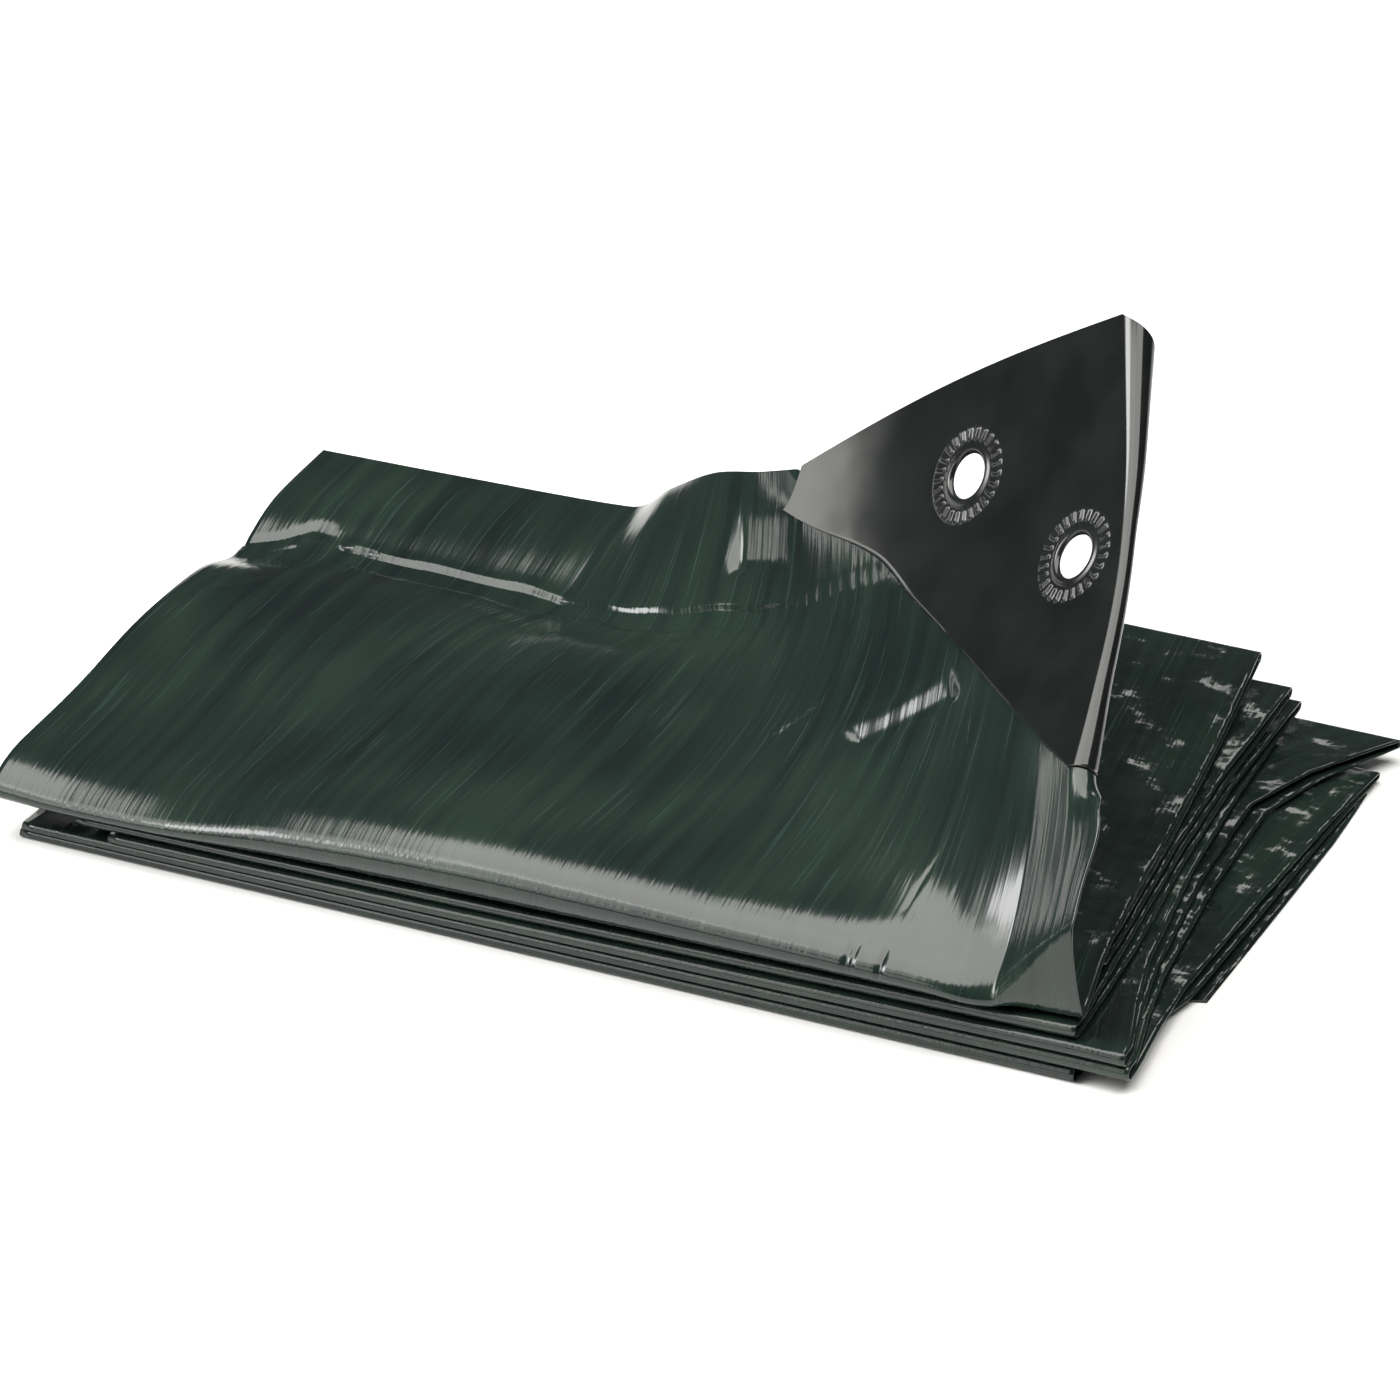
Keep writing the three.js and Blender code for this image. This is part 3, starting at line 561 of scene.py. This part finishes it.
# Profile of an eyelet as (radius, height): behind, over the patch's rear face, and in front, over its front
EYELET_BEHIND = [
    (HOLE, -0.5), (HOLE + 0.5, -0.95), (LIP + 0.6, -1.1), (BACK_FLANGE - 0.6, -1.0),
    (BACK_FLANGE, -0.6), (BACK_FLANGE, -0.15), (PATCH_HOLE - 0.3, -0.1),
]
EYELET_UNDER_RIM = [(PATCH_HOLE - 0.3, -0.08), (RIM + 0.4, -0.08), (RIM + 0.6, -0.06), (RIM + 0.2, -0.02)]
EYELET_RING = [(r, 0.02) for r in np.linspace(RIM - 0.3, RIDGES_FROM - 0.35, 16)]
EYELET_COLLAR = [
    (9.1, 0.04), (8.6, 0.12), (8.1, 0.3), (7.6, 0.42),
    (7.1, 0.4), (6.7, 0.15), (HOLE + 0.1, -0.25), (HOLE, -0.55),
]


def edged(places, close):
    """Places with one more close to each end, so that the shading stays even up to the border."""
    return np.sort(np.concatenate([places, [places[0] + close, places[-1] - close]]))


def patch_point(along, back, lift):
    """Point of the patch, which runs straight on past the panel's bend at its left end."""
    held = np.maximum(along, PATCH_LEFT + PATCH_BEND)
    across = panel_frame(held, back)[0]
    return panel_point(held, back, lift) + across * (along - held)[..., None]


def make_patch():
    """Black patch: a grid from the slanting seam to the back hem, opened round each eyelet's barrel."""
    width = RIGHT_EDGE - PATCH_END_HEM
    columns = edged(spaced(0.0, width, PATCH_COLUMNS, PATCH_HUMPS), PATCH_EDGE_COLUMN)
    share = edged(np.linspace(0, 1, PATCH_ROWS), PATCH_EDGE_ROW)[:, None]
    left = mix(PATCH_END_SEAM, PATCH_END_HEM, share)
    along = left + columns * (RIGHT_EDGE - left) / columns[-1]
    top = PANEL_DEPTH - PATCH_SLANT * np.maximum(0.0, along - ROLL_START)
    back = mix(seam_back(along), top, share)
    keep = np.ones((len(share) - 1, len(columns) - 1), bool)
    for at_along, at_back in EYELETS.values():
        dx, dy = along - at_along, back - at_back
        far = np.hypot(dx, dy)
        inside = far < PATCH_HOLE - PATCH_CUT
        keep &= ~(inside[:-1, :-1] | inside[1:, :-1] | inside[:-1, 1:] | inside[1:, 1:])
        near = ~inside & (far < PATCH_HOLE + PATCH_SNAP)
        along[near] = at_along + dx[near] / far[near] * PATCH_HOLE
        back[near] = at_back + dy[near] / far[near] * PATCH_HOLE
    points = patch_point(along, back, PATCH_LIFT)
    quads = grid_faces(len(share), len(columns))[keep.ravel()]
    used, corner = np.unique(quads, return_inverse=True)
    uv = np.stack([along, back], -1).reshape(-1, 2)[used]
    patch = make_mesh("corner_patch_film", points.reshape(-1, 3)[used], corner.reshape(-1, 4), uv)
    thicken(patch, PATCH_FILM)
    return patch


def make_eyelet(name, centre):
    """Pressed eyelet: a profile of (radius, lift) turned round the centre on the patch, with radial ridges.

    Each ridge is a rounded bar from the collar to the rim: a power of a raised cosine across it, and a soft
    step at both ends.
    """
    turns = RIDGES * RIDGE_TURNS
    front = PATCH_LIFT + PATCH_FILM / 2
    rear = PATCH_LIFT - PATCH_FILM / 2
    profile = [(r, rear + height) for r, height in EYELET_BEHIND]
    profile += [(r, front + height) for r, height in EYELET_UNDER_RIM + EYELET_RING + EYELET_COLLAR]
    radius, lift = np.array(profile).T
    angle = np.arange(turns) / turns * 2 * math.pi
    r, a = np.meshgrid(radius, angle)
    across = (0.5 + 0.5 * np.cos(RIDGES * a)) ** RIDGE_POWER
    ends = ease((r - RIDGES_FROM + 0.3) / RIDGE_END) * ease((RIDGES_TO + 0.1 - r) / RIDGE_END)
    on_front = np.arange(len(radius)) >= len(EYELET_BEHIND) + len(EYELET_UNDER_RIM)
    raised = lift + on_front * RIDGE_HEIGHT * across * ends
    along, back = centre[0] + r * np.cos(a), centre[1] + r * np.sin(a)
    points = panel_point(along, back, raised)
    n = len(radius)
    i, j = np.meshgrid(np.arange(turns), np.arange(n), indexing="ij")
    k, m = (i + 1) % turns, (j + 1) % n
    faces = np.stack([i * n + j, k * n + j, k * n + m, i * n + m], -1).reshape(-1, 4)
    return make_mesh(name, points.reshape(-1, 3), faces, np.stack([along, back], -1).reshape(-1, 2))


# Materials. Noise of the film: scales along the folds and down the film, detail and roughness
FILM_NOISE = {
    "broad": ((22.0, 0.9), 2.0, 0.5),
    "fine": ((120.0, 1.6), 2.0, 0.6),
    "finest": ((300.0, 3.0), 1.0, 0.5),
    "clouds": ((1.6, 1.3), 2.0, 0.5),
    "short": ((150.0, 2.2), 1.0, 0.5),
    "slow": ((3.0, 1.6), 2.0, 0.5),
    "wrinkle_side": ((7.0, 9.0), 3.0, 0.6),
    "wrinkle_long": ((6.0, 14.0), 3.0, 0.6),
}
# How strongly each noise tips the normal
FILM_TILTS = {
    "fine": 0.22, "finest": 0.10, "short": 0.18, "slow": 0.08,
    "wrinkle_side": 1.1, "wrinkle_long": 1.1,
}
FILM_TINTS = [
    (0.38, (0.006, 0.0105, 0.0098)),
    (0.5, (0.009, 0.0165, 0.0138)),
    (0.62, (0.013, 0.0245, 0.0190)),
]
FILM_LINES = [(0.60, (0, 0, 0)), (0.70, (0.010, 0.018, 0.016))]
BROAD_SHARE, CLOUDS_SHARE = 0.4, 0.6
FAN_BEFORE, FAN_BEHIND = -0.5, -0.07  # the fan lies before this second coordinate and behind this y in metres
PATCH_TINTS = [(0.35, (0.0055, 0.0068, 0.0066)), (0.65, (0.0095, 0.0115, 0.0110))]
PATCH_CLOUDS, PATCH_SIDE, PATCH_LONG, PATCH_TILT = (5.0, 5.0), (5.0, 4.0), (4.0, 5.0), 0.03
FILM_ROUGHNESS, PATCH_ROUGHNESS, EYELET_ROUGHNESS, PLASTIC_IOR = 0.16, 0.11, 0.2, 1.52
FLOOR_COLOUR, FLOOR_ROUGHNESS, FLOOR_SPECULAR = (0.86, 0.86, 0.86, 1.0), 0.9, 0.1


def node_tree(name):
    """New material with one principled shader on its output."""
    material = bpy.data.materials.new(name)
    material.use_nodes = True
    tree = material.node_tree
    tree.nodes.clear()
    out = tree.nodes.new("ShaderNodeOutputMaterial")
    shader = tree.nodes.new("ShaderNodeBsdfPrincipled")
    tree.links.new(shader.outputs[0], out.inputs[0])
    return material, tree, shader


def noise(tree, source, scale, detail=2.0, rough=0.5):
    """Noise on flat coordinates stretched by a different scale for each of the two."""
    stretch = tree.nodes.new("ShaderNodeMapping")
    stretch.inputs["Scale"].default_value = (*scale, 1.0)
    tree.links.new(source, stretch.inputs["Vector"])
    texture = tree.nodes.new("ShaderNodeTexNoise")
    texture.inputs["Scale"].default_value = 1.0
    texture.inputs["Detail"].default_value = detail
    texture.inputs["Roughness"].default_value = rough
    tree.links.new(stretch.outputs[0], texture.inputs["Vector"])
    return texture.outputs["Fac"]


def ramp(tree, source, stops):
    """Colour ramp through (place, colour) stops."""
    node = tree.nodes.new("ShaderNodeValToRGB")
    elements = node.color_ramp.elements
    while len(elements) < len(stops):
        elements.new(0.5)
    for element, (place, colour) in zip(elements, stops):
        element.position = place
        element.color = (*colour, 1.0)
    tree.links.new(source, node.inputs[0])
    return node.outputs[0]


def arithmetic(tree, operation, *values):
    """Math node on numbers or sockets."""
    node = tree.nodes.new("ShaderNodeMath")
    node.operation = operation
    for socket, value in zip(node.inputs, values):
        if isinstance(value, (int, float)):
            socket.default_value = value
        else:
            tree.links.new(value, socket)
    return node.outputs[0]


def scaled(tree, vector, factor):
    """Vector times the value of a socket."""
    node = tree.nodes.new("ShaderNodeVectorMath")
    node.operation = "SCALE"
    tree.links.new(vector, node.inputs[0])
    tree.links.new(factor, node.inputs["Scale"])
    return node.outputs[0]


def vector_math(tree, operation, a, b=None):
    """Vector math node on one or two sockets."""
    node = tree.nodes.new("ShaderNodeVectorMath")
    node.operation = operation
    tree.links.new(a, node.inputs[0])
    if b is not None:
        tree.links.new(b, node.inputs[1])
    return node.outputs[0]


def streaked_normal(tree, sideways, lengthways, base):
    """Normal tipped by streak noise: sideways across the streaks, lengthways along them."""
    tangent = tree.nodes.new("ShaderNodeTangent")
    tangent.direction_type = "UV_MAP"
    tangent.uv_map = "film"
    along_way = tangent.outputs[0]
    back_way = vector_math(tree, "CROSS_PRODUCT", base, along_way)
    tip = vector_math(tree, "ADD", scaled(tree, along_way, sideways), scaled(tree, back_way, lengthways))
    return vector_math(tree, "NORMALIZE", vector_math(tree, "ADD", base, tip))


def tilt(tree, source, strength):
    """Signed tilt from a noise value round its middle."""
    return arithmetic(tree, "MULTIPLY", arithmetic(tree, "SUBTRACT", source, 0.5), strength)


def film_coordinates(tree):
    """Texture coordinates of the piece's film."""
    uv_map = tree.nodes.new("ShaderNodeUVMap")
    uv_map.uv_map = "film"
    return uv_map.outputs[0]


def glossy(tree, shader, roughness, side, long):
    """Plastic gloss on a shader, with its normal tipped sideways and lengthways."""
    shader.inputs["Roughness"].default_value = roughness
    shader.inputs["IOR"].default_value = PLASTIC_IOR
    base = tree.nodes.new("ShaderNodeNewGeometry").outputs["Normal"]
    tree.links.new(streaked_normal(tree, side, long, base), shader.inputs["Normal"])


def fan_mask(tree, uv):
    """One on the film of the fan and zero elsewhere: before the front fold, and behind the folds' edges."""
    parts = tree.nodes.new("ShaderNodeSeparateXYZ")
    tree.links.new(uv, parts.inputs[0])
    place = tree.nodes.new("ShaderNodeSeparateXYZ")
    tree.links.new(tree.nodes.new("ShaderNodeTexCoord").outputs["Object"], place.inputs[0])
    before = arithmetic(tree, "LESS_THAN", parts.outputs[1], FAN_BEFORE)
    behind = arithmetic(tree, "GREATER_THAN", place.outputs[1], FAN_BEHIND)
    return arithmetic(tree, "MULTIPLY", before, behind)


def film_material():
    """Green film: streaks down the film in colour and in the normal, and wrinkles where the fan opens."""
    material, tree, shader = node_tree("green_film_gloss")
    uv = film_coordinates(tree)
    marks = {name: noise(tree, uv, *settings) for name, settings in FILM_NOISE.items()}
    tilts = {name: tilt(tree, marks[name], strength) for name, strength in FILM_TILTS.items()}
    broad = arithmetic(tree, "MULTIPLY", marks["broad"], BROAD_SHARE)
    clouds = arithmetic(tree, "MULTIPLY", marks["clouds"], CLOUDS_SHARE)
    colour = ramp(tree, arithmetic(tree, "ADD", broad, clouds), FILM_TINTS)
    lines = ramp(tree, marks["fine"], FILM_LINES)
    tree.links.new(vector_math(tree, "ADD", colour, lines), shader.inputs["Base Color"])
    fan = fan_mask(tree, uv)
    side = arithmetic(tree, "ADD", tilts["fine"], tilts["finest"])
    side = arithmetic(tree, "ADD", side, arithmetic(tree, "MULTIPLY", tilts["wrinkle_side"], fan))
    long = arithmetic(tree, "ADD", tilts["short"], tilts["slow"])
    long = arithmetic(tree, "ADD", long, arithmetic(tree, "MULTIPLY", tilts["wrinkle_long"], fan))
    glossy(tree, shader, FILM_ROUGHNESS, side, long)
    return material


def patch_material(name, roughness):
    """Black plastic, a little cloudy in colour and faintly uneven, for the patch and the eyelets."""
    material, tree, shader = node_tree(name)
    uv = film_coordinates(tree)
    colour = ramp(tree, noise(tree, uv, PATCH_CLOUDS, 3.0), PATCH_TINTS)
    tree.links.new(colour, shader.inputs["Base Color"])
    side = tilt(tree, noise(tree, uv, PATCH_SIDE), PATCH_TILT)
    long = tilt(tree, noise(tree, uv, PATCH_LONG), PATCH_TILT)
    glossy(tree, shader, roughness, side, long)
    return material


def floor_material():
    """Pale matt floor."""
    material, _, shader = node_tree("pale_floor")
    shader.inputs["Base Color"].default_value = FLOOR_COLOUR
    shader.inputs["Roughness"].default_value = FLOOR_ROUGHNESS
    shader.inputs["Specular IOR Level"].default_value = FLOOR_SPECULAR
    return material


# Stage, light and camera. Softboxes: bearing from +y, climb, distance, size, strength and share of diffuse
SOFTBOXES = {
    "key_softbox": (-95, 76, 1.5, (1.35, 1.0), 5.5, 1.0),
    "top_softbox": (88, 68, 1.5, (1.1, 0.95), 5.0, 0.2),
    "front_high_softbox": (-131, 40, 1.6, (1.2, 1.15), 3.2, 0.3),
    "front_low_softbox": (-158, 20, 1.6, (0.6, 0.7), 2.2, 0.3),
    "left_strip": (-87, 5.4, 1.8, (0.5, 0.082), 4.6, 1.0),
    "back_softbox": (-4, 36, 1.8, (0.3, 0.4), 4.0, 0.0),
}
SOFTBOX_COLOUR, SOFTBOX_TARGET = (1.0, 0.99, 0.95), np.array([0.03, 0.0, 0.04])
SUN_STRENGTH, SUN_ANGLE, SUN_WAY, SUN_DISTANCE = 1.6, 25, (-120, 40), 2.0
WORLD_COLOUR, WORLD_STRENGTH = (0.06, 0.062, 0.062, 1.0), 1.0
FLOOR_HALF = 4.0


def make_floor():
    """Square floor, kept out of the part as its stage."""
    half = FLOOR_HALF
    mesh = bpy.data.meshes.new("floor")
    corners = [(-half, -half, 0), (half, -half, 0), (half, half, 0), (-half, half, 0)]
    mesh.from_pydata(corners, [], [(0, 1, 2, 3)])
    floor = bpy.data.objects.new("floor", mesh)
    bpy.context.scene.collection.objects.link(floor)
    floor.data.materials.append(floor_material())


def aim(thing, place, target):
    """Put a light at a place, facing a target."""
    thing.location = place
    thing.rotation_euler = (Vector(place) - Vector(target)).to_track_quat("Z", "Y").to_euler()


def softbox(name, bearing, climb, distance, size, strength, diffuse):
    """Rectangular light at a bearing and a climb from the bundle, facing it. Strength is its radiance."""
    data = bpy.data.lights.new(name, "AREA")
    data.shape = "RECTANGLE"
    data.size, data.size_y = size
    data.energy = strength * size[0] * size[1] * math.pi
    data.color = SOFTBOX_COLOUR
    data.diffuse_factor = diffuse
    lamp = bpy.data.objects.new(name, data)
    bpy.context.scene.collection.objects.link(lamp)
    aim(lamp, tuple(SOFTBOX_TARGET + distance * heading(bearing, climb)), tuple(SOFTBOX_TARGET))


def make_lights():
    """The softboxes, a soft sun without highlights, and a dim grey world."""
    for name, settings in SOFTBOXES.items():
        softbox(name, *settings)
    sun = bpy.data.lights.new("fill_sun", "SUN")
    sun.energy = SUN_STRENGTH
    sun.angle = math.radians(SUN_ANGLE)
    sun.specular_factor = 0.0
    lamp = bpy.data.objects.new("fill_sun", sun)
    bpy.context.scene.collection.objects.link(lamp)
    aim(lamp, tuple(SUN_DISTANCE * heading(*SUN_WAY)), (0, 0, 0))
    world = bpy.data.worlds.new("studio")
    world.use_nodes = True
    background = world.node_tree.nodes["Background"]
    background.inputs[0].default_value = WORLD_COLOUR
    background.inputs[1].default_value = WORLD_STRENGTH
    bpy.context.scene.world = world


CAMERA_TURN, CAMERA_CLIMB = math.radians(24.5), math.radians(29.0)
CAMERA_PLACE = (0.8613, -1.9002, 1.1855)
FOCAL_PIXELS, FRAME_PIXELS, SENSOR, CLIP_END = 9000.0, 1400.0, 36.0, 50.0


def make_camera():
    """Camera turned about +z by its turn and looking down by its climb, with the long lens of the photo."""
    s, c = math.sin(CAMERA_TURN), math.cos(CAMERA_TURN)
    se, ce = math.sin(CAMERA_CLIMB), math.cos(CAMERA_CLIMB)
    right = Vector((c, s, 0))
    up = Vector((-s * se, c * se, ce))
    towards = Vector((s * ce, -c * ce, se))
    data = bpy.data.cameras.new("camera")
    data.sensor_width = SENSOR
    data.lens = SENSOR * FOCAL_PIXELS / FRAME_PIXELS
    data.clip_end = CLIP_END
    camera = bpy.data.objects.new("camera", data)
    bpy.context.scene.collection.objects.link(camera)
    turn = Matrix((right, up, towards)).transposed().to_4x4()
    camera.matrix_world = Matrix.Translation(CAMERA_PLACE) @ turn
    bpy.context.scene.camera = camera


make_camera()
make_lights()
make_floor()

film, film_length = make_film()
film.data.materials.append(film_material())
patch = make_patch()
patch.data.materials.append(patch_material("black_film_gloss", PATCH_ROUGHNESS))
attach(film, "root")
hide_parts("tarp_sheet")
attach(patch, "root")
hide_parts("corner_patch")
eyelet_material = patch_material("black_plastic_satin", EYELET_ROUGHNESS)
for eyelet_name, eyelet_centre in EYELETS.items():
    eyelet = make_eyelet(eyelet_name + "_ring", eyelet_centre)
    eyelet.data.materials.append(eyelet_material)
    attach(eyelet, "root")
    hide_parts(eyelet_name)

scene = bpy.context.scene
scene.view_settings.view_transform = "Standard"
scene.view_settings.look = "None"
